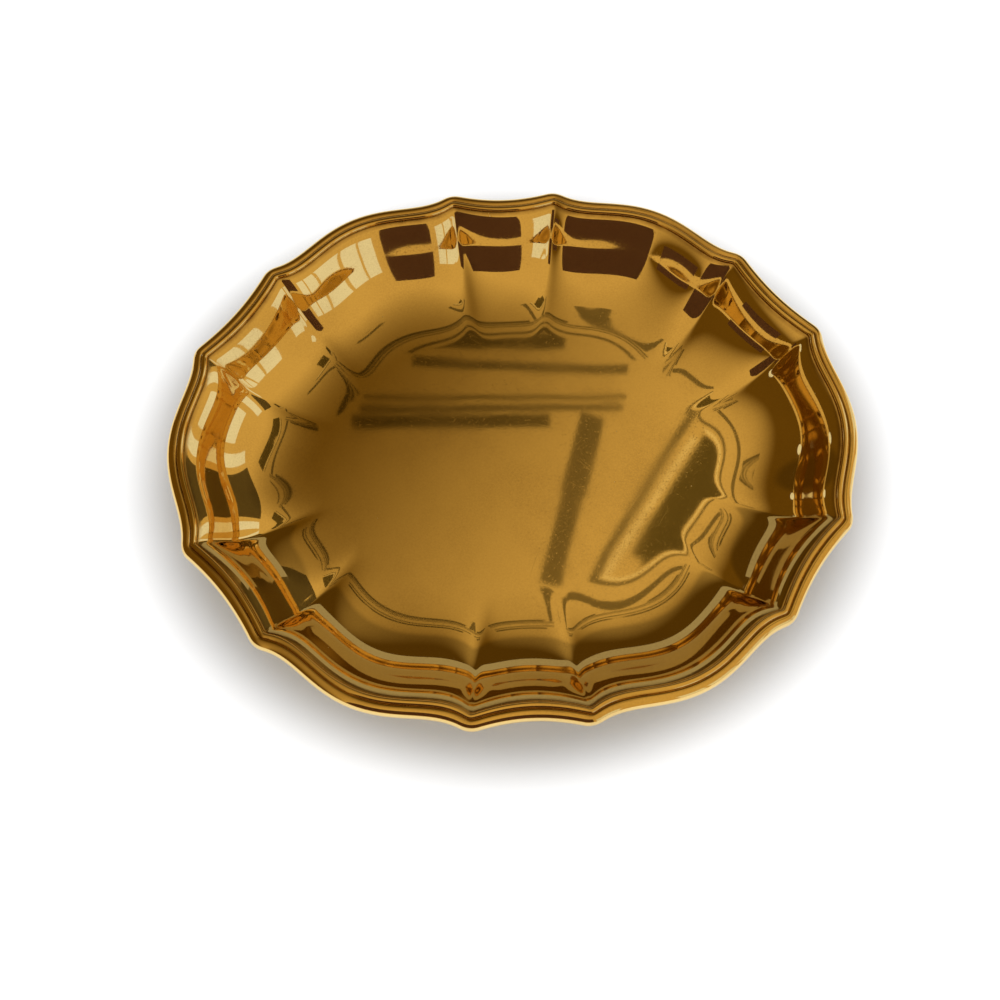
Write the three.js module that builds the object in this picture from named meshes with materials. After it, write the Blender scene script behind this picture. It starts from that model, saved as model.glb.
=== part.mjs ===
// An oval vanity tray of polished gold-tone brass, in millimetres, +Z up.
// A pressed dish with a fluted wall carries a moulded border on its flange, and the border's
// lip is rolled over a stiffening wire. The tray stands on the underside of its floor, at z = 0.
import * as THREE from "three";

// Outline: the oval through the outer tips of the cusps
const OVAL_LENGTH = 304.8;
const OVAL_WIDTH = 253;

// Angles of the cusps on the oval in one quarter, in degrees from the long axis
const CUSP_ANGLES = [21.2, 43.3, 80.5];

// Fluting at the rim, measured inwards from the oval through the cusps: a short lobe is one
// hollow, and a long lobe dips beside its cusps and swells again to its middle
const SHORT_LOBE_DEPTH = 5.4;
const LONG_LOBE_DIP = 3.5;
const SIDE_LOBE_MIDDLE = -0.8;
const END_LOBE_MIDDLE = 2;

// Fluting at the foot of the wall, measured the same way, and how squarely it turns into the
// creases. A long lobe swells outwards in its middle here too.
const SHORT_FOOT_DEPTH = 6.8;
const LONG_FOOT_DEPTH = 5.5;
const LONG_FOOT_SWELL = 3;
const FOOT_LOBE_POWER = 6;

// Dish: sheet thickness, and the wall from its foot to its top edge
const SHEET = 1;
const WALL_RUN = 52;
const WALL_RISE = 28.5;

// The wall's ogee: a cove and a shoulder meet on its steepest line, which is placed inwards and
// downwards from the top edge. A tighter bend keeps closer to the straights that it joins.
const STEEP_IN = 10;
const STEEP_DOWN = 12.5;
const STEEP_SLOPE = THREE.MathUtils.degToRad(59.2);
const SHOULDER_SLOPE = THREE.MathUtils.degToRad(30);
const COVE_FOOT_TIGHTNESS = 0.62;
const COVE_STEEP_TIGHTNESS = 0.87;
const SHOULDER_TIGHTNESS = 0.9;

// Border: one bead, a groove, and a lip that turns down and curls under
const BORDER_SHEET = 0.6;
const BEAD_WIDTH = 2.8;
const BEAD_HEIGHT = 1.5;
const LIP_WIDTH = 4.8;
const LIP_RISE = 1.4;
const CURL_ANGLE = THREE.MathUtils.degToRad(200);

// Wire in the curl, and the gap kept between neighbouring pieces
const WIRE_DIAMETER = 2.4;
const CLEARANCE = 0.3;

// Facets: steps round each lobe and along each curved part of a section
const SHORT_LOBE_STEPS = 6;
const LONG_LOBE_STEPS = 10;
const COVE_STEPS = 8;
const SHOULDER_STEPS = 5;
const BEAD_STEPS = 4;
const LIP_STEPS = 5;
const CURL_STEPS = 5;
const WIRE_SIDES = 6;

// The oval at the wall's top edge lies inside the outer oval by the border's reach
const borderReach = CLEARANCE + BEAD_WIDTH + LIP_WIDTH;
const semiLength = OVAL_LENGTH / 2 - borderReach;
const semiWidth = OVAL_WIDTH / 2 - borderReach;
const wallTop = SHEET + WALL_RISE;

// The wire lies under the flange's edge, and the curl wraps round it
const wireRadius = WIRE_DIAMETER / 2;
const curlInside = wireRadius + CLEARANCE;
const curlOutside = curlInside + BORDER_SHEET;
const wireOut = borderReach - curlOutside;
const wireUp = wallTop - SHEET - CLEARANCE - wireRadius;
const flangeReach = wireOut;

// Depth of each kind of lobe at the rim and at the wall's foot. side is 1 at a cusp and 0 in the
// lobe's middle.
const shortLobe = {
  steps: SHORT_LOBE_STEPS,
  rimDepth: (side) => SHORT_LOBE_DEPTH * (1 - side ** 2),
  footDepth: (side) => SHORT_FOOT_DEPTH * (1 - side ** FOOT_LOBE_POWER),
};

function longLobe(middle) {
  return {
    steps: LONG_LOBE_STEPS,
    rimDepth: (side) => {
      const dip = 4 * LONG_LOBE_DIP * side ** 2 * (1 - side ** 2);
      return dip + middle * (1 - side ** 2) ** 2;
    },
    footDepth: (side) => {
      const swell = LONG_FOOT_SWELL * (1 - side ** 2) ** 3;
      return LONG_FOOT_DEPTH * (1 - side ** FOOT_LOBE_POWER) - swell;
    },
  };
}

// Lobes met in turn from the first cusp, over half of the outline
const sideLobe = longLobe(SIDE_LOBE_MIDDLE);
const endLobe = longLobe(END_LOBE_MIDDLE);
const HALF_OUTLINE = [shortLobe, sideLobe, shortLobe, sideLobe, shortLobe, endLobe];

// Stations round the outline, each with its place on the oval, its outward direction
// and the depth of the fluting there at the rim and at the wall's foot
function outlineStations() {
  const mirrored = CUSP_ANGLES.map((angle) => 180 - angle).reverse();
  const half = [...CUSP_ANGLES, ...mirrored];
  const cusps = [...half, ...half.map((angle) => angle + 180)];
  return cusps.flatMap((start, index) => {
    const end = index + 1 < cusps.length ? cusps[index + 1] : cusps[0] + 360;
    const lobe = HALF_OUTLINE[index % HALF_OUTLINE.length];
    return Array.from({ length: lobe.steps }, (_, step) => {
      const share = step / lobe.steps;
      const angle = THREE.MathUtils.degToRad(THREE.MathUtils.lerp(start, end, share));
      const side = Math.abs(2 * share - 1);
      const away = new THREE.Vector2(Math.cos(angle) / semiLength, Math.sin(angle) / semiWidth);
      return {
        place: new THREE.Vector2(semiLength * Math.cos(angle), semiWidth * Math.sin(angle)),
        away: away.normalize(),
        rimDepth: lobe.rimDepth(side),
        footDepth: lobe.footDepth(side),
      };
    });
  });
}

const stations = outlineStations();

// Turns a section, listed anticlockwise, into a ring with the tray's outline. Distances outwards
// are taken from the wall's top edge, and a point on the axis stays on the axis.
function fluted(section) {
  const geometry = new THREE.LatheGeometry(section, stations.length);
  const position = geometry.getAttribute("position");
  for (let i = 0; i < position.count; i += 1) {
    const station = stations[Math.floor(i / section.length) % stations.length];
    const { x: radius, y: height } = section[i % section.length];
    if (radius === 0) {
      position.setXYZ(i, 0, 0, height);
      continue;
    }
    const out = radius - semiLength;
    const share = THREE.MathUtils.smoothstep(out, -WALL_RUN, 0);
    const depth = THREE.MathUtils.lerp(station.footDepth, station.rimDepth, share);
    const point = station.place.clone().addScaledVector(station.away, out - depth);
    position.setXYZ(i, point.x, point.y, height);
  }
  geometry.computeVertexNormals();
  return geometry;
}

// A section point, given outwards from the wall's top edge and upwards from z = 0
function at(out, up) {
  return new THREE.Vector2(semiLength + out, up);
}

function onAxis(up) {
  return new THREE.Vector2(0, up);
}

function arc(out, up, radius, from, to, steps) {
  return Array.from({ length: steps + 1 }, (_, step) => {
    const angle = THREE.MathUtils.lerp(from, to, step / steps);
    return at(out + radius * Math.cos(angle), up + radius * Math.sin(angle));
  });
}

// A curve from one straight to another, bent round the corner where they would meet
function bend(start, corner, end, leavingTightness, arrivingTightness) {
  const leaving = start.clone().lerp(corner, leavingTightness);
  const arriving = end.clone().lerp(corner, arrivingTightness);
  return new THREE.CubicBezierCurve(start, leaving, arriving, end);
}

// The pressed dish: floor, ogee wall and flange, all of one sheet thickness
function dishSection() {
  const foot = at(-WALL_RUN, SHEET);
  const steep = at(-STEEP_IN, wallTop - STEEP_DOWN);
  const top = at(0, wallTop);
  const coveReach = (WALL_RISE - STEEP_DOWN) / Math.tan(STEEP_SLOPE);
  const coveCorner = at(-STEEP_IN - coveReach, SHEET);
  const lean = STEEP_DOWN * Math.cos(SHOULDER_SLOPE) - STEEP_IN * Math.sin(SHOULDER_SLOPE);
  const shoulderReach = lean / Math.sin(STEEP_SLOPE - SHOULDER_SLOPE);
  const steepest = new THREE.Vector2(Math.cos(STEEP_SLOPE), Math.sin(STEEP_SLOPE));
  const shoulderCorner = steep.clone().addScaledVector(steepest, shoulderReach);

  const outer = [];
  const inner = [];
  function addBend(curve, steps) {
    for (let step = 0; step < steps; step += 1) {
      const point = curve.getPoint(step / steps);
      const along = curve.getTangent(step / steps);
      outer.push(point.clone().add(new THREE.Vector2(along.y, -along.x).multiplyScalar(SHEET)));
      inner.unshift(point);
    }
  }
  const cove = bend(foot, coveCorner, steep, COVE_FOOT_TIGHTNESS, COVE_STEEP_TIGHTNESS);
  const shoulder = bend(steep, shoulderCorner, top, SHOULDER_TIGHTNESS, SHOULDER_TIGHTNESS);
  addBend(cove, COVE_STEPS);
  addBend(shoulder, SHOULDER_STEPS);
  const underBend = at(SHEET * Math.tan(SHOULDER_SLOPE / 2), wallTop - SHEET);
  const flange = [underBend, at(flangeReach, wallTop - SHEET), at(flangeReach, wallTop), top];
  return [onAxis(0), ...outer, ...flange, ...inner, onAxis(SHEET)];
}

// The border: seated on the flange, its lip turned down outside it and curled round the wire
function borderSection() {
  const seat = wallTop + CLEARANCE;
  const groove = seat + BORDER_SHEET;
  const face = borderReach;

  const corner = face - BORDER_SHEET;
  const chamfer = CLEARANCE + BORDER_SHEET;
  const under = [at(CLEARANCE, seat), at(corner - chamfer, seat), at(corner, wallTop - BORDER_SHEET)];
  const inside = arc(wireOut, wireUp, curlInside, 0, -CURL_ANGLE, CURL_STEPS);
  const curl = arc(wireOut, wireUp, curlOutside, -CURL_ANGLE, 0, CURL_STEPS);

  const grooveOut = CLEARANCE + BEAD_WIDTH;
  const lip = new THREE.CubicBezierCurve(
    at(face, wireUp),
    at(face, groove + LIP_RISE / 2),
    at(grooveOut + LIP_RISE, groove + LIP_RISE),
    at(grooveOut, groove),
  );
  const crest = seat + BEAD_HEIGHT;
  const bead = Array.from({ length: BEAD_STEPS }, (_, step) => {
    const angle = (Math.PI * (step + 1)) / BEAD_STEPS;
    const base = Math.cos(angle) > 0 ? groove : seat;
    const out = grooveOut - (BEAD_WIDTH / 2) * (1 - Math.cos(angle));
    return at(out, base + (crest - base) * Math.sin(angle));
  });
  return [...under, ...inside, ...curl, ...lip.getPoints(LIP_STEPS).slice(1), ...bead];
}

// The wire: a round rod inside the curl, under the flange's edge
function wireSection() {
  return arc(wireOut, wireUp, wireRadius, 0, 2 * Math.PI, WIRE_SIDES);
}

// Polished sheet, the slightly deeper moulded border, and bare drawn wire
const polishedSheet = new THREE.MeshStandardMaterial({ color: 0xc9973f, roughness: 0.12, metalness: 1 });
const polishedBorder = new THREE.MeshStandardMaterial({ color: 0xc48f38, roughness: 0.14, metalness: 1 });
const drawnWire = new THREE.MeshStandardMaterial({ color: 0xa88545, roughness: 0.4, metalness: 1 });

function piece(name, section, material) {
  const mesh = new THREE.Mesh(fluted(section), material);
  mesh.name = name;
  return mesh;
}

const tray = new THREE.Group();
tray.add(
  piece("tray_dish", dishSection(), polishedSheet),
  piece("rim_border", borderSection(), polishedBorder),
  piece("rim_wire", wireSection(), drawnWire),
);

export default tray;
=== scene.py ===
# An oval vanity tray of polished gold-tone brass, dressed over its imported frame, in the frame's axes.
# Lengths on the tray are in millimetres until a mesh is made, and those of the stage are in metres.
import math

import bmesh
import bpy
from mathutils import Matrix, Vector


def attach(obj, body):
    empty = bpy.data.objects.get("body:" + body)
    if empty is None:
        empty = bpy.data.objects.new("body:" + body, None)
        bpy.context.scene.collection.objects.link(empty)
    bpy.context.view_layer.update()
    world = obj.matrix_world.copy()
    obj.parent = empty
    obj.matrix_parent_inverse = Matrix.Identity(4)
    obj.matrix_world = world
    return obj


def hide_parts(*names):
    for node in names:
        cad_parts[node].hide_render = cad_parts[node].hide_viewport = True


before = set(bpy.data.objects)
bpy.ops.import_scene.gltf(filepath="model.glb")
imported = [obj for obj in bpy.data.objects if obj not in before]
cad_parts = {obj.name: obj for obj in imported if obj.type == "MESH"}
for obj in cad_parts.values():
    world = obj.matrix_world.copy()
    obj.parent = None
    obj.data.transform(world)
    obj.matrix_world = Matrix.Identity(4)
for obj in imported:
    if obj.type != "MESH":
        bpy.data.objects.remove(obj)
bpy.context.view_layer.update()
scene = bpy.context.scene
scene.view_settings.view_transform = "Standard"
MM = 0.001


# Dish
# The body of the tray is one disc of brass sheet, pressed into a flat floor and a fluted ogee wall
# and turned out into a narrow flange. Twelve creases run up the wall to the cusps of the rim.
oval_length = 304.8
oval_width = 253
cusp_angles = (21.2, 43.3, 80.5)
short_lobe_depth = 5.4
long_lobe_dip = 3.5
side_lobe_middle = -0.8
end_lobe_middle = 2
short_foot_depth = 6.8
long_foot_depth = 5.5
long_foot_swell = 3
foot_lobe_power = 6
sheet = 1
wall_run = 52
wall_rise = 28.5
steep_in = 10
steep_down = 12.5
steep_slope = math.radians(59.2)
shoulder_slope = math.radians(30)
cove_foot_tightness = 0.62
cove_steep_tightness = 0.87
shoulder_tightness = 0.9
clearance = 0.3
bead_width = 2.8
lip_width = 4.8
wire_radius = 1.2
border_sheet = 0.6

border_reach = clearance + bead_width + lip_width
semi_length = oval_length / 2 - border_reach
semi_width = oval_width / 2 - border_reach
wall_top = sheet + wall_rise
wire_out = border_reach - wire_radius - clearance - border_sheet
wire_up = wall_top - sheet - clearance - wire_radius

quarter_turn = [180 - angle for angle in reversed(cusp_angles)]
half_turn = [*cusp_angles, *quarter_turn]
cusps = half_turn + [angle + 180 for angle in half_turn]
lobes = ["short", "side", "short", "side", "short", "end"] * 2
lobe_middles = {"side": side_lobe_middle, "end": end_lobe_middle}


def lobe_depths(angle):
    """Fluting at the rim and at the wall's foot, for an angle on the oval in degrees."""
    angle = (angle - cusps[0]) % 360 + cusps[0]
    first = max(index for index, cusp in enumerate(cusps) if cusp <= angle)
    last = cusps[first + 1] if first + 1 < len(cusps) else cusps[0] + 360
    side = abs(2 * (angle - cusps[first]) / (last - cusps[first]) - 1)
    if lobes[first] == "short":
        rim = short_lobe_depth * (1 - side**2)
        foot = short_foot_depth * (1 - side**foot_lobe_power)
    else:
        dip = 4 * long_lobe_dip * side**2 * (1 - side**2)
        rim = dip + lobe_middles[lobes[first]] * (1 - side**2) ** 2
        swell = long_foot_swell * (1 - side**2) ** 3
        foot = long_foot_depth * (1 - side**foot_lobe_power) - swell
    return rim, foot


# Pressed sheet can't fold to a sharp line, so depths are averaged over a few degrees at each crease.
# The creases are crisp at the wall's top, rounder out on the lip, and die away softly at the foot.
half_samples = 12
crease_samples = [step / half_samples - 1 for step in range(2 * half_samples + 1)]
top_round, lip_round, foot_round = 0.5, 1.5, 1.3
crease_reach = 1.6


def mean_depth(angle, reach, end):
    """Fluting averaged over a turn that reaches to both sides, at the rim (0) or the foot (1)."""
    depths = [lobe_depths(angle + reach * part)[end] for part in crease_samples]
    return sum(depths) / len(depths)


lobe_steps = {"short": 30, "side": 48, "end": 48}
stations = []
for index, cusp in enumerate(cusps):
    turn = (cusps[index + 1] if index + 1 < len(cusps) else cusps[0] + 360) - cusp
    for step in range(lobe_steps[lobes[index]]):
        share = (1 - math.cos(math.pi * step / lobe_steps[lobes[index]])) / 2
        angle = cusp + turn * share
        foot_depth = mean_depth(angle, foot_round, 1)
        top_depth = mean_depth(angle, top_round, 0)
        lip_depth = mean_depth(angle, lip_round, 0)
        cosine, sine = math.cos(math.radians(angle)), math.sin(math.radians(angle))
        place = Vector((semi_length * cosine, semi_width * sine))
        away = Vector((cosine / semi_length, sine / semi_width)).normalized()
        near_crease = max(0, 1 - min(share, 1 - share) * turn / crease_reach)
        stations.append((place, away, (foot_depth, top_depth, lip_depth), near_crease))


def smoothstep(share):
    share = min(max(share, 0), 1)
    return share * share * (3 - 2 * share)


def fluted_ring(out, up, inwards=1):
    """One ring with the tray's outline, at a distance out from the wall's top edge."""
    risen = smoothstep((out + wall_run) / wall_run)
    over_border = smoothstep(out / border_reach)
    ring = []
    for place, away, (foot_depth, top_depth, lip_depth), _ in stations:
        rim_depth = top_depth + (lip_depth - top_depth) * over_border
        depth = foot_depth + (rim_depth - foot_depth) * risen
        flat = (place + away * (out - depth)) * inwards
        ring.append(Vector((flat.x, flat.y, up)) * MM)
    return ring


merge_distance = 1e-7
sharp_angle = math.radians(40)


def skin(name, rings, grooves):
    """A closed piece over rings in turn, with each ring's share of groove and of crease stored."""
    made = bmesh.new()
    groove_layer = made.verts.layers.float.new("groove")
    crease_layer = made.verts.layers.float.new("crease")
    rows = []
    for ring, groove in zip(rings, grooves):
        row = [made.verts.new(point) for point in ring]
        for vertex, (_, _, _, near_crease) in zip(row, stations):
            vertex[groove_layer] = groove
            vertex[crease_layer] = near_crease * smoothstep(vertex.co.z / (wall_top * MM))
        rows.append(row)
    count = len(stations)
    for row, above in zip(rows, rows[1:] + rows[:1]):
        for i in range(count):
            after = (i + 1) % count
            made.faces.new((row[i], row[after], above[after], above[i]))
    bmesh.ops.remove_doubles(made, verts=made.verts, dist=merge_distance)
    bmesh.ops.recalc_face_normals(made, faces=made.faces)
    mesh = bpy.data.meshes.new(name)
    made.to_mesh(mesh)
    made.free()
    mesh.polygons.foreach_set("use_smooth", [True] * len(mesh.polygons))
    mesh.set_sharp_from_angle(angle=sharp_angle)
    piece = bpy.data.objects.new(name, mesh)
    scene.collection.objects.link(piece)
    return piece


def bezier(points, steps):
    """Points along a cubic curve, each with its direction."""
    a, b, c, d = (Vector(point) for point in points)
    for step in range(steps + 1):
        t = step / steps
        u = 1 - t
        point = a * u**3 + b * (3 * u * u * t) + c * (3 * u * t * t) + d * t**3
        along = (b - a) * (u * u) + (c - b) * (2 * u * t) + (d - c) * (t * t)
        yield point, along.normalized()


def bend(start, corner, end, leaving_tightness, arriving_tightness, steps):
    """A curve from one straight to another, round the corner where they would meet."""
    leaving = start.lerp(corner, leaving_tightness)
    arriving = end.lerp(corner, arriving_tightness)
    return list(bezier((start, leaving, arriving, end), steps))


cove_steps = 48
shoulder_steps = 24
floor_shares = (0, 0.3, 0.6, 0.85)
foot = Vector((-wall_run, sheet))
steep = Vector((-steep_in, wall_top - steep_down))
top_edge = Vector((0, wall_top))
cove_reach = (wall_rise - steep_down) / math.tan(steep_slope)
cove_corner = Vector((-steep_in - cove_reach, sheet))
lean = steep_down * math.cos(shoulder_slope) - steep_in * math.sin(shoulder_slope)
shoulder_reach = lean / math.sin(steep_slope - shoulder_slope)
steepest = Vector((math.cos(steep_slope), math.sin(steep_slope)))
cove = bend(foot, cove_corner, steep, cove_foot_tightness, cove_steep_tightness, cove_steps)
shoulder_corner = steep + steepest * shoulder_reach
shoulder = bend(
    steep, shoulder_corner, top_edge, shoulder_tightness, shoulder_tightness, shoulder_steps
)
wall = cove[:-1] + shoulder
inner_wall = [tuple(point) for point, _ in wall]
outer_wall = [(p.x + along.y * sheet, p.y - along.x * sheet) for p, along in wall[:-1]]
flange = [
    (sheet * math.tan(shoulder_slope / 2), wall_top - sheet),
    (wire_out, wall_top - sheet),
    (wire_out, wall_top),
]
dish_rings = [fluted_ring(-wall_run, 0, share) for share in floor_shares]
dish_rings += [fluted_ring(*point) for point in outer_wall + flange + inner_wall[::-1]]
dish_rings += [fluted_ring(-wall_run, sheet, share) for share in reversed(floor_shares)]
# Painted shade: the top rings of the wall's inside, just under the border, are darkened to brown
shaded_rings = 4
dish_grooves = [0] * len(dish_rings)
first_inside = len(floor_shares) + len(outer_wall) + len(flange)
for step in range(shaded_rings):
    dish_grooves[first_inside + step] = 1 - step / shaded_rings
dish = skin("dish", dish_rings, dish_grooves)


def linear(hex_colour):
    """An sRGB hex colour as the linear values that shaders take."""
    channels = [int(hex_colour[i : i + 2], 16) / 255 for i in (0, 2, 4)]
    turned = [c / 12.92 if c <= 0.04045 else ((c + 0.055) / 1.055) ** 2.4 for c in channels]
    return (*turned, 1)


def add_node(material, kind, settings, inputs):
    """Adds a node with its settings, and sets each input or links a socket to it."""
    made = material.node_tree.nodes.new(kind)
    for name, value in settings.items():
        setattr(made, name, value)
    for name, value in inputs.items():
        if isinstance(value, bpy.types.NodeSocket):
            material.node_tree.links.new(value, made.inputs[name])
        else:
            made.inputs[name].default_value = value
    return made


def new_material(name):
    """A material that has no nodes yet."""
    material = bpy.data.materials.new(name)
    material.use_nodes = True
    material.node_tree.nodes.clear()
    return material


# Widths, lengths, heights and depths of the marks on the metal, all in millimetres but for the two
# directions of the hairlines, in radians, and the strength of the painted shade in a crease
wipe_patch = 40
sway_patch, sway_width = 60, 30
hairline_length, hairline_width = 25, 0.3
hairline_turns = (0.5, 2.2)
grain_size = 0.8
speck_spacing, speck_radius, speck_core = 14, 0.3, 0.2
shade_patch = 6
crease_shade = 0.2
wave_patch, wave_height = 32, 0.02
grain_height = 0.001
hairline_depth = 0.0005
dust = "D8C9A6"


def polished_brass(name, gold, tarnish_and_shade, roughness):
    """Gold-toned brass, buffed to a mirror: it shows what is round it, wipe marks and hairlines."""
    material = new_material(name)
    place = add_node(material, "ShaderNodeTexCoord", {}, {}).outputs["Object"]

    # Wiping leaves a faint cloudy haze, in patches a few centimetres across
    wipe = add_node(
        material,
        "ShaderNodeTexNoise",
        {},
        {"Vector": place, "Scale": 1 / (wipe_patch * MM), "Detail": 3, "Roughness": 0.6},
    )
    haze = add_node(
        material,
        "ShaderNodeMapRange",
        {},
        {"Value": wipe.outputs["Fac"], "From Min": 0.42, "From Max": 0.68},
    )

    # Hairlines from years of wiping run two ways, a little bent. Real ones are hundredths of a
    # millimetre wide, and these are drawn as coarse as they need to be to show.
    sway = add_node(
        material,
        "ShaderNodeTexNoise",
        {},
        {"Vector": place, "Scale": 1 / (sway_patch * MM), "Detail": 1},
    )
    bent = add_node(
        material,
        "ShaderNodeVectorMath",
        {"operation": "MULTIPLY_ADD"},
        {0: sway.outputs["Color"], 1: (sway_width * MM, sway_width * MM, 0), 2: place},
    )
    long_scale, fine_scale = 1 / (hairline_length * MM), 1 / (hairline_width * MM)
    hairlines = []
    for turn in hairline_turns:
        turned = add_node(
            material,
            "ShaderNodeVectorRotate",
            {"rotation_type": "Z_AXIS"},
            {"Vector": bent.outputs["Vector"], "Angle": turn},
        )
        drawn = add_node(
            material,
            "ShaderNodeVectorMath",
            {"operation": "MULTIPLY"},
            {0: turned.outputs["Vector"], 1: (long_scale, fine_scale, long_scale)},
        )
        grain = add_node(
            material,
            "ShaderNodeTexNoise",
            {},
            {"Vector": drawn.outputs["Vector"], "Scale": 1, "Detail": 0},
        )
        line = add_node(
            material,
            "ShaderNodeMapRange",
            {},
            {"Value": grain.outputs["Fac"], "From Min": 0.8, "From Max": 0.86},
        )
        hairlines.append(line.outputs["Result"])
    scratched = add_node(
        material, "ShaderNodeMath", {"operation": "MAXIMUM"}, {0: hairlines[0], 1: hairlines[1]}
    )

    # Old lacquer and buffing leave a fine dark grain. It is drawn as coarse as it needs to be to
    # show, and is stronger in the hazy patches.
    grains = add_node(
        material,
        "ShaderNodeTexNoise",
        {},
        {"Vector": place, "Scale": 1 / (grain_size * MM), "Detail": 2},
    )
    grain_share = add_node(
        material,
        "ShaderNodeMapRange",
        {},
        {"Value": haze.outputs["Result"], "To Min": 0.2, "To Max": 0.4},
    )
    dark_grain = add_node(
        material,
        "ShaderNodeMath",
        {"operation": "MULTIPLY"},
        {0: grains.outputs["Fac"], 1: grain_share.outputs["Result"]},
    )
    speckled = add_node(
        material,
        "ShaderNodeMix",
        {"data_type": "RGBA"},
        {0: dark_grain.outputs["Value"], 6: linear(gold), 7: linear(tarnish_and_shade)},
    )

    # The same grain leaves fine pits, which catch light where the metal mirrors something dark
    pits = add_node(
        material,
        "ShaderNodeMapRange",
        {},
        {"Value": grains.outputs["Fac"], "From Min": 0.6, "From Max": 0.72},
    )

    # A few specks of dust lie on the metal
    speck_cells = add_node(
        material, "ShaderNodeTexVoronoi", {}, {"Vector": place, "Scale": 1 / (speck_spacing * MM)}
    )
    specks = add_node(
        material,
        "ShaderNodeMapRange",
        {},
        {
            "Value": speck_cells.outputs["Distance"],
            "From Min": speck_radius / speck_spacing,
            "From Max": speck_core / speck_spacing,
        },
    )

    # Painted shade: the metal is darkened to brown in the grooves and down the creases, in patches
    grooves = add_node(material, "ShaderNodeAttribute", {"attribute_name": "groove"}, {})
    creases = add_node(material, "ShaderNodeAttribute", {"attribute_name": "crease"}, {})
    faint_creases = add_node(
        material,
        "ShaderNodeMath",
        {"operation": "MULTIPLY"},
        {0: creases.outputs["Fac"], 1: crease_shade},
    )
    shade_places = add_node(
        material,
        "ShaderNodeMath",
        {"operation": "MAXIMUM"},
        {0: grooves.outputs["Fac"], 1: faint_creases.outputs["Value"]},
    )
    patchy = add_node(
        material,
        "ShaderNodeTexNoise",
        {},
        {"Vector": place, "Scale": 1 / (shade_patch * MM), "Detail": 4},
    )
    recess_shade = add_node(
        material,
        "ShaderNodeMath",
        {"operation": "MULTIPLY", "use_clamp": True},
        {0: shade_places.outputs["Value"], 1: patchy.outputs["Fac"]},
    )
    tinted = add_node(
        material,
        "ShaderNodeMix",
        {"data_type": "RGBA"},
        {0: recess_shade.outputs["Value"], 6: speckled.outputs[2], 7: linear(tarnish_and_shade)},
    )
    dusted = add_node(
        material,
        "ShaderNodeMix",
        {"data_type": "RGBA"},
        {0: specks.outputs["Result"], 6: tinted.outputs[2], 7: linear(dust)},
    )

    # Each kind of mark scatters the mirrored light a little, by its own share on top of the polish
    dulled = roughness
    for mark, share in ((haze, 0.02), (scratched, 0.06), (pits, 0.1), (specks, 0.4), (recess_shade, 0.3)):
        dulled = add_node(
            material,
            "ShaderNodeMath",
            {"operation": "MULTIPLY_ADD"},
            {0: mark.outputs[0], 1: share, 2: dulled},
        ).outputs["Value"]

    # Pressing leaves the sheet a little wavy, buffing a fine grain, and a hairline is a shallow cut
    waves = add_node(
        material,
        "ShaderNodeTexNoise",
        {},
        {"Vector": place, "Scale": 1 / (wave_patch * MM), "Detail": 1},
    )
    surface = None
    for height, depth in (
        (waves.outputs["Fac"], wave_height * MM),
        (grains.outputs["Fac"], grain_height * MM),
        (scratched.outputs["Value"], -hairline_depth * MM),
    ):
        relief = {"Height": height, "Distance": depth, "Strength": 1}
        if surface:
            relief["Normal"] = surface
        surface = add_node(material, "ShaderNodeBump", {}, relief).outputs["Normal"]
    metal = add_node(
        material,
        "ShaderNodeBsdfPrincipled",
        {},
        {
            "Base Color": dusted.outputs[2],
            "Metallic": 1,
            "Roughness": dulled,
            "Normal": surface,
        },
    )
    add_node(material, "ShaderNodeOutputMaterial", {}, {"Surface": metal.outputs["BSDF"]})
    return material


dish_gold = "F2D58E"
# Brown for the fine dark grain and for the painted shade in the grooves and creases
brown_tarnish_and_shade = "7A522B"
dish_roughness = 0.032
buffed_sheet = polished_brass("buffed_brass_sheet", dish_gold, brown_tarnish_and_shade, dish_roughness)
dish.data.materials.append(buffed_sheet)
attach(dish, "root")
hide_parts("tray_dish")


# Border
# The border is a strip of thinner brass, drawn through dies to one bead and a broad lip. It sits on
# the flange, follows the fluted outline and is curled under the flange's edge.
bead_height = 1.5
lip_rise = 1.4
curl_angle = math.radians(200)
groove_shade_reach = 1.2
border_gold = "EECE84"
border_roughness = 0.04
bead_steps = 16
lip_steps = 24
curl_steps = 16

seat = wall_top + clearance
groove = seat + border_sheet
groove_out = clearance + bead_width
face = border_reach
corner = face - border_sheet
curl_inside = wire_radius + clearance
curl_outside = curl_inside + border_sheet


def arc(out, up, radius, start, end, steps):
    angles = [start + (end - start) * step / steps for step in range(steps + 1)]
    return [(out + radius * math.cos(a), up + radius * math.sin(a)) for a in angles]


under = [
    (clearance, seat),
    (corner - clearance - border_sheet, seat),
    (corner, wall_top - border_sheet),
]
curl = arc(wire_out, wire_up, curl_inside, 0, -curl_angle, curl_steps)
curl += arc(wire_out, wire_up, curl_outside, -curl_angle, 0, curl_steps)
lip_points = (
    (face, wire_up),
    (face, groove + lip_rise / 2),
    (groove_out + lip_rise, groove + lip_rise),
    (groove_out, groove),
)
lip = [tuple(point) for point, _ in bezier(lip_points, lip_steps)][1:]
bead = []
for step in range(1, bead_steps + 1):
    angle = math.pi * step / bead_steps
    base = groove if math.cos(angle) > 0 else seat
    crest = seat + bead_height
    bead.append(
        (
            groove_out - bead_width / 2 * (1 - math.cos(angle)),
            base + (crest - base) * math.sin(angle),
        )
    )
border_section = under + curl + lip + bead[:-1]
border_rings = [fluted_ring(*point) for point in border_section]
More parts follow.
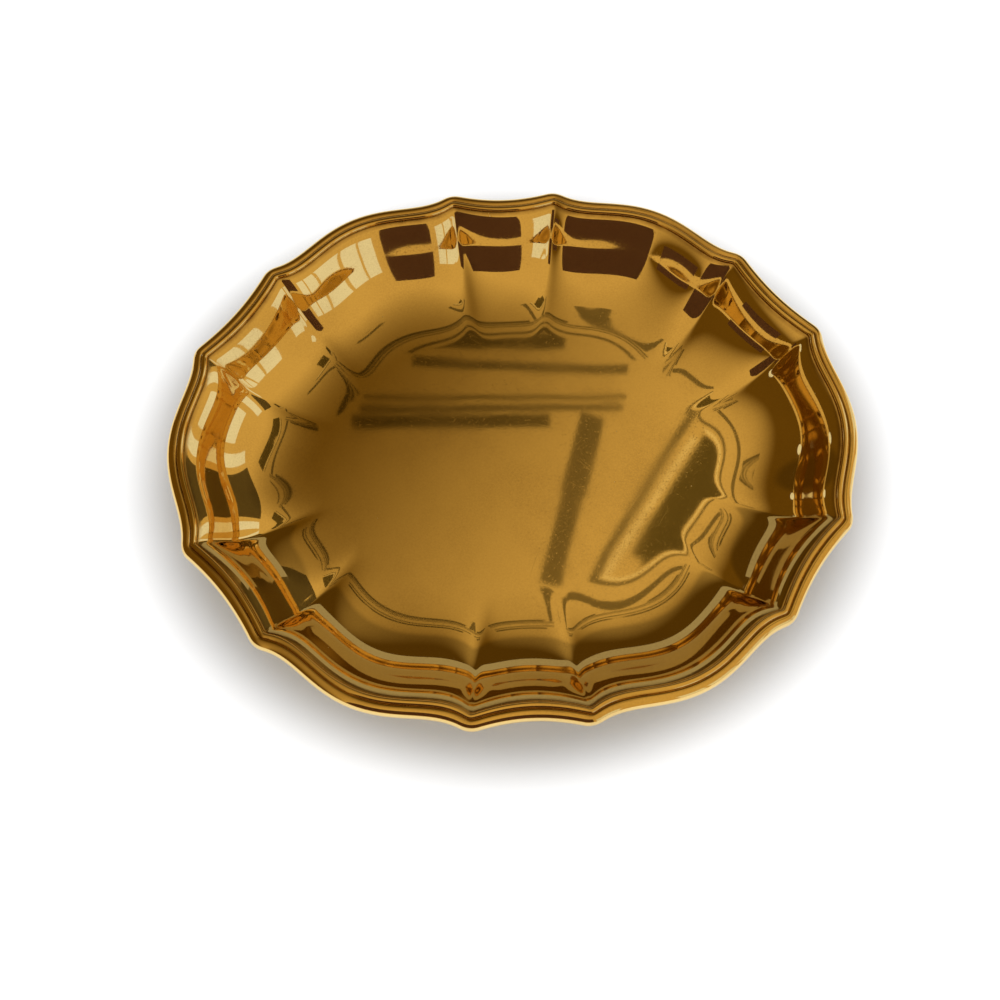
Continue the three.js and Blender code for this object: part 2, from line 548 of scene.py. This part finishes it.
# Painted shade: the border is darkened to brown in its groove, where it meets the wall and on the lower
# half of the curl
border_grooves = []
for out, up in border_section:
    in_groove = max(0, 1 - math.hypot(out - groove_out, up - groove) / groove_shade_reach)
    by_wall = max(0, 1 - math.hypot(out - clearance, up - seat) / groove_shade_reach)
    under_lip = smoothstep((wire_up - up) / curl_outside)
    border_grooves.append(max(in_groove, by_wall, under_lip))
border = skin("border", border_rings, border_grooves)
buffed_border = polished_brass("buffed_brass_border", border_gold, brown_tarnish_and_shade, border_roughness)
border.data.materials.append(buffed_border)
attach(border, "root")
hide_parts("rim_border")


# Wire
# A drawn brass rod lies inside the curl, and stiffens the rim. It was never polished, so it is
# duller than the rest and keeps the fine lines of the die.
wire_steps = 20
wire_gold = "B8945A"
wire_tarnish = "6E5330"
die_line, die_line_depth = 0.2, 0.01
wire_stain_patch = 8
wire_section = arc(wire_out, wire_up, wire_radius, 0, 2 * math.pi, wire_steps)[:-1]
wire_rings = [fluted_ring(*point) for point in wire_section]
wire = skin("wire", wire_rings, [1] * len(wire_rings))
drawn_brass = new_material("drawn_brass_wire")
wire_place = add_node(drawn_brass, "ShaderNodeTexCoord", {}, {})

# Die lines follow the wire, at one height all round. They are drawn far enough apart to show.
across_lines = add_node(
    drawn_brass,
    "ShaderNodeVectorMath",
    {"operation": "MULTIPLY"},
    {0: wire_place.outputs["Object"], 1: (0, 0, 1 / (die_line * MM))},
)
die_lines = add_node(
    drawn_brass, "ShaderNodeTexNoise", {}, {"Vector": across_lines.outputs["Vector"], "Scale": 1}
)
wire_stain = add_node(
    drawn_brass,
    "ShaderNodeTexNoise",
    {},
    {"Vector": wire_place.outputs["Object"], "Scale": 1 / (wire_stain_patch * MM), "Detail": 4},
)
lined = add_node(
    drawn_brass,
    "ShaderNodeMath",
    {"operation": "MULTIPLY"},
    {0: die_lines.outputs["Fac"], 1: wire_stain.outputs["Fac"]},
)
wire_colour = add_node(
    drawn_brass,
    "ShaderNodeMix",
    {"data_type": "RGBA"},
    {0: lined.outputs["Value"], 6: linear(wire_gold), 7: linear(wire_tarnish)},
)
wire_dullness = add_node(
    drawn_brass,
    "ShaderNodeMapRange",
    {},
    {"Value": lined.outputs["Value"], "To Min": 0.34, "To Max": 0.55},
)
wire_relief = add_node(
    drawn_brass,
    "ShaderNodeBump",
    {},
    {"Height": die_lines.outputs["Fac"], "Distance": die_line_depth * MM, "Strength": 1},
)
wire_metal = add_node(
    drawn_brass,
    "ShaderNodeBsdfPrincipled",
    {},
    {
        "Base Color": wire_colour.outputs[2],
        "Metallic": 1,
        "Roughness": wire_dullness.outputs["Result"],
        "Normal": wire_relief.outputs["Normal"],
    },
)
add_node(drawn_brass, "ShaderNodeOutputMaterial", {}, {"Surface": wire_metal.outputs["BSDF"]})
wire.data.materials.append(drawn_brass)
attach(wire, "root")
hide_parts("rim_wire")


# Tabletop
# The tray stands on a plain white sheet that fills the view. Seen straight or in the metal it is
# lifted to white, but under the tray and close round it the lift fades, a painted shade over the
# tray's real shadow. The painted shade starts and ends at shares of the tray's oval.
half_table = 5
paper = "F1F3F6"
paper_lift = 0.78
painted_shade_share = 0.1
painted_shade_starts, painted_shade_ends = 1.22, 0.96


def level_sheet(name, half, up):
    """A square sheet that lies level at a height."""
    mesh = bpy.data.meshes.new(name)
    corners = [(-half, -half, up), (half, -half, up), (half, half, up), (-half, half, up)]
    mesh.from_pydata(corners, [], [(0, 1, 2, 3)])
    laid = bpy.data.objects.new(name, mesh)
    scene.collection.objects.link(laid)
    return laid


table = level_sheet("tabletop", half_table, 0)
white_paper = new_material("white_paper")
plain_paper = add_node(white_paper, "ShaderNodeBsdfDiffuse", {}, {"Color": linear(paper)})
seen = add_node(white_paper, "ShaderNodeLightPath", {}, {})
straight_or_mirrored = add_node(
    white_paper,
    "ShaderNodeMath",
    {"operation": "MAXIMUM"},
    {0: seen.outputs["Is Camera Ray"], 1: seen.outputs["Is Glossy Ray"]},
)
seen_at_all = add_node(
    white_paper,
    "ShaderNodeMath",
    {"operation": "MAXIMUM"},
    {0: straight_or_mirrored.outputs["Value"], 1: seen.outputs["Is Transmission Ray"]},
)
paper_place = add_node(white_paper, "ShaderNodeTexCoord", {}, {})
in_ovals = add_node(
    white_paper,
    "ShaderNodeVectorMath",
    {"operation": "MULTIPLY"},
    {0: paper_place.outputs["Object"], 1: (2 / (oval_length * MM), 2 / (oval_width * MM), 0)},
)
ovals_out = add_node(
    white_paper, "ShaderNodeVectorMath", {"operation": "LENGTH"}, {0: in_ovals.outputs["Vector"]}
)
# Painted shade: the lift fades in an oval under and close round the tray
lift_with_painted_shade = add_node(
    white_paper,
    "ShaderNodeMapRange",
    {"interpolation_type": "SMOOTHSTEP"},
    {
        "Value": ovals_out.outputs["Value"],
        "From Min": painted_shade_ends,
        "From Max": painted_shade_starts,
        "To Min": painted_shade_share * paper_lift,
        "To Max": paper_lift,
    },
)
lift = add_node(
    white_paper,
    "ShaderNodeMath",
    {"operation": "MULTIPLY"},
    {0: seen_at_all.outputs["Value"], 1: lift_with_painted_shade.outputs["Result"]},
)
glow = add_node(
    white_paper, "ShaderNodeEmission", {}, {"Color": (1, 1, 1, 1), "Strength": lift.outputs["Value"]}
)
lifted = add_node(
    white_paper,
    "ShaderNodeAddShader",
    {},
    {0: plain_paper.outputs["BSDF"], 1: glow.outputs["Emission"]},
)
add_node(white_paper, "ShaderNodeOutputMaterial", {}, {"Surface": lifted.outputs["Shader"]})
white_paper.cycles.emission_sampling = "NONE"
table.data.materials.append(white_paper)


# Light tent
# A dome of cloth stands round the table, evenly lit and duller low down at the back. The metal mirrors
# it warm, and its light on the paper is plain. The camera sees past it to a white backdrop.
tent_radius = 6
tent_segments, tent_rings = 64, 32
tent_hem = -0.06
tent_light = "FFD788"
tent_glow = 0.7
light_on_paper = 0.6
dull_share = 0.65
dull_starts, dull_ends = 0.55, 0.63
tent_mesh = bpy.data.meshes.new("light_tent")
dome = bmesh.new()
bmesh.ops.create_uvsphere(
    dome, u_segments=tent_segments, v_segments=tent_rings, radius=tent_radius
)
below = [vertex for vertex in dome.verts if vertex.co.z < tent_hem]
bmesh.ops.delete(dome, geom=below, context="VERTS")
dome.to_mesh(tent_mesh)
dome.free()
tent = bpy.data.objects.new("light_tent", tent_mesh)
scene.collection.objects.link(tent)
tent.visible_camera = False
lit_cloth = new_material("lit_cloth")
tent_place = add_node(lit_cloth, "ShaderNodeTexCoord", {}, {})
backwards = add_node(
    lit_cloth,
    "ShaderNodeVectorMath",
    {"operation": "DOT_PRODUCT"},
    {0: tent_place.outputs["Object"], 1: (0, 1 / tent_radius, 0)},
)
cloth_glow = add_node(
    lit_cloth,
    "ShaderNodeMapRange",
    {"interpolation_type": "SMOOTHSTEP"},
    {
        "Value": backwards.outputs["Value"],
        "From Min": dull_starts,
        "From Max": dull_ends,
        "To Min": tent_glow,
        "To Max": dull_share * tent_glow,
    },
)
cloth_seen = add_node(lit_cloth, "ShaderNodeLightPath", {}, {})
cloth_tint = add_node(
    lit_cloth,
    "ShaderNodeMix",
    {"data_type": "RGBA"},
    {
        0: cloth_seen.outputs["Is Glossy Ray"],
        6: (light_on_paper, light_on_paper, light_on_paper, 1),
        7: linear(tent_light),
    },
)
cloth_light = add_node(
    lit_cloth,
    "ShaderNodeEmission",
    {},
    {"Color": cloth_tint.outputs[2], "Strength": cloth_glow.outputs["Result"]},
)
add_node(lit_cloth, "ShaderNodeOutputMaterial", {}, {"Surface": cloth_light.outputs["Emission"]})
lit_cloth.cycles.emission_sampling = "NONE"
tent.data.materials.append(lit_cloth)
backdrop = bpy.data.worlds.new("backdrop")
backdrop.use_nodes = True
backdrop.node_tree.nodes["Background"].inputs["Color"].default_value = (1, 1, 1, 1)
scene.world = backdrop


# Softboxes and flags
# Softboxes stand on the right like tall windows, with a round lamp far left and a lit board behind.
# Dark cloths hang between them. The polished wall mirrors them as its white and brown patches.
pane_bar = 0.05


def upright_card(name, azimuth, distance, low, high, width, panes=1):
    """An upright card that faces the tray, in panes side by side with bars between them."""
    bar = pane_bar if panes > 1 else 0
    bottom, top = low + bar / 2, high - bar / 2
    corners, faces = [], []
    for pane in range(panes):
        left = -width / 2 + width * pane / panes + bar / 2
        right = -width / 2 + width * (pane + 1) / panes - bar / 2
        faces.append(tuple(range(len(corners), len(corners) + 4)))
        corners += [(distance, left, bottom), (distance, right, bottom)]
        corners += [(distance, right, top), (distance, left, top)]
    card_mesh = bpy.data.meshes.new(name)
    card_mesh.from_pydata(corners, [], faces)
    card = bpy.data.objects.new(name, card_mesh)
    card.matrix_world = Matrix.Rotation(math.radians(azimuth), 4, "Z")
    scene.collection.objects.link(card)
    card.visible_camera = False
    return card


def only_mirrored(thing):
    """Keeps a card out of the light on the paper, so that it shows in the metal alone."""
    thing.visible_camera = False
    thing.visible_diffuse = False
    thing.visible_shadow = False


def glowing(name, colour, strength):
    """A surface that gives off even light of one colour."""
    material = new_material(name)
    light = add_node(
        material, "ShaderNodeEmission", {}, {"Color": linear(colour), "Strength": strength}
    )
    add_node(material, "ShaderNodeOutputMaterial", {}, {"Surface": light.outputs["Emission"]})
    return material


daylight = glowing("daylight", "FFFFFF", 0.9)
softboxes = (
    upright_card("front_softbox", azimuth=-44, distance=1.2, low=0.06, high=0.8, width=1.05, panes=3),
    upright_card("side_softbox", azimuth=0, distance=1.2, low=0.06, high=0.55, width=0.3),
    upright_card("end_softbox", azimuth=22, distance=1.2, low=0.06, high=1.2, width=0.26),
)
for softbox in softboxes:
    softbox.data.materials.append(daylight)
lamp_radius = 0.09
lamp_azimuth = math.radians(148)
lamp_distance, lamp_height = 1.2, 0.2
lamp_mesh = bpy.data.meshes.new("round_lamp")
disc = bmesh.new()
bmesh.ops.create_circle(disc, cap_ends=True, segments=32, radius=lamp_radius)
disc.to_mesh(lamp_mesh)
disc.free()
lamp = bpy.data.objects.new("round_lamp", lamp_mesh)
lamp_turn = Matrix.Rotation(lamp_azimuth, 4, "Z")
lamp_place = Matrix.Translation((lamp_distance, 0, lamp_height))
facing_tray = Matrix.Rotation(math.radians(90), 4, "Y")
lamp.matrix_world = lamp_turn @ lamp_place @ facing_tray
scene.collection.objects.link(lamp)
lamp.visible_camera = False
lamp.data.materials.append(daylight)
reflector = upright_card("far_reflector", azimuth=90, distance=1, low=0.01, high=0.42, width=1.9)
reflector.data.materials.append(glowing("lit_board", "F0E0BD", 0.45))
only_mirrored(reflector)


def matt(name, colour):
    """A dull surface of one colour, such as cloth or bare wood."""
    material = bpy.data.materials.new(name)
    material.use_nodes = True
    shader = material.node_tree.nodes["Principled BSDF"]
    shader.inputs["Base Color"].default_value = linear(colour)
    shader.inputs["Roughness"].default_value = 1
    return material


brown_cloth = matt("brown_cloth", "784F36")
olive_cloth = matt("olive_cloth", "846E3C")
flags = (
    (upright_card("near_flag", azimuth=-100, distance=0.7, low=0.1, high=1.1, width=0.66), brown_cloth),
    (upright_card("left_flag", azimuth=-150, distance=1.2, low=0.13, high=0.36, width=0.6), brown_cloth),
    (upright_card("far_flag", azimuth=47, distance=1.2, low=0.1, high=1.3, width=0.56), olive_cloth),
)
for flag, cloth in flags:
    flag.data.materials.append(cloth)
    only_mirrored(flag)


# Scrim
# A wide net scrim is stretched flat above the tray, just under the lens. Its weave is open on
# the near right and closes up to the far left, so the metal mirrors the tent darker on that side.
scrim_height = 0.42
scrim_net = "7C6C38"
weave_azimuth = math.radians(-35)
open_weave, close_weave = 0.079, -0.265
half_scrim = 3
scrim = level_sheet("scrim", half_scrim, scrim_height)
net = new_material("scrim_net")
net_place = add_node(net, "ShaderNodeTexCoord", {}, {})
along_weave = add_node(
    net,
    "ShaderNodeVectorMath",
    {"operation": "DOT_PRODUCT"},
    {0: net_place.outputs["Object"], 1: (math.cos(weave_azimuth), math.sin(weave_azimuth), 0)},
)
weave = add_node(
    net,
    "ShaderNodeMapRange",
    {"interpolation_type": "SMOOTHSTEP"},
    {"Value": along_weave.outputs["Value"], "From Min": open_weave, "From Max": close_weave},
)
let_through = add_node(
    net,
    "ShaderNodeMix",
    {"data_type": "RGBA"},
    {0: weave.outputs["Result"], 6: (1, 1, 1, 1), 7: linear(scrim_net)},
)
gauze = add_node(net, "ShaderNodeBsdfTransparent", {}, {"Color": let_through.outputs[2]})
add_node(net, "ShaderNodeOutputMaterial", {}, {"Surface": gauze.outputs["BSDF"]})
scrim.data.materials.append(net)
only_mirrored(scrim)


# Battens
# Wooden battens cross under the roof of the tent, with a lit strip and a board on the right. The flat
# floor of the tray mirrors them as soft bars, and the cove draws each of them out into lines. Each has
# a start and an end on the roof, a width and a finish.
roof_height = 2
bare_wood = matt("bare_wood", "AE9150")
pale_wood = matt("pale_wood", "C0A15F")
olive_board = matt("olive_board", "957B38")
lit_strip = glowing("lit_strip", "FFE3A6", 0.9)
battens = {
    "far_batten": ((-0.31, 0.858), (0.17, 0.841), 0.034, bare_wood),
    "far_ledge": ((-0.29, 0.89), (0.35, 0.87), 0.018, pale_wood),
    "far_strip": ((-0.28, 0.921), (0.36, 0.897), 0.012, bare_wood),
    "far_rail": ((-0.16, 1.012), (0.37, 0.968), 0.024, pale_wood),
    "far_sill": ((-0.12, 1.064), (0.22, 1.052), 0.04, bare_wood),
    "cross_batten": ((0.275, 0.852), (0.212, 0.65), 0.06, pale_wood),
    "cross_tail": ((0.212, 0.65), (0.146, 0.44), 0.05, pale_wood),
    "right_rail": ((0.53, 0.868), (0.236, 0.437), 0.02, pale_wood),
    "right_light": ((0.515, 0.781), (0.256, 0.43), 0.014, lit_strip),
    "right_panel": ((0.714, 0.796), (0.45, 0.42), 0.28, olive_board),
}
for name, (start, end, width, finish) in battens.items():
    start, end = Vector(start), Vector(end)
    sideways = (end - start).normalized().orthogonal() * width / 2
    outline = (start - sideways, start + sideways, end + sideways, end - sideways)
    batten_mesh = bpy.data.meshes.new(name)
    batten_mesh.from_pydata([(p.x, p.y, roof_height) for p in outline], [], [(0, 1, 2, 3)])
    batten = bpy.data.objects.new(name, batten_mesh)
    scene.collection.objects.link(batten)
    batten.data.materials.append(finish)
    only_mirrored(batten)


# Camera
# The view looks down on the tray from its near side, turned and tilted a little.
lens_to_frame = 1.1
frame_pixels = 1000
aim = Vector((0, 0, wall_top)) * MM
distance = 0.47783
elevation = math.radians(68.21)
turned = math.radians(6.02)
rolled = math.radians(-3.41)
aim_pixels = (15.95, -64.54)

back = Vector(
    (
        -math.cos(elevation) * math.sin(turned),
        -math.cos(elevation) * math.cos(turned),
        math.sin(elevation),
    )
)
level = Vector((math.cos(turned), -math.sin(turned), 0))
upright = back.cross(level)
right = level * math.cos(rolled) - upright * math.sin(rolled)
top = level * math.sin(rolled) + upright * math.cos(rolled)
camera_data = bpy.data.cameras.new("camera")
camera_data.sensor_width = 36
camera_data.lens = camera_data.sensor_width * lens_to_frame
camera_data.shift_x = -aim_pixels[0] / frame_pixels
camera_data.shift_y = aim_pixels[1] / frame_pixels
camera = bpy.data.objects.new("camera", camera_data)
camera.matrix_world = Matrix.Translation(aim + back * distance) @ Matrix(
    (right, top, back)
).transposed().to_4x4()
scene.collection.objects.link(camera)
scene.camera = camera
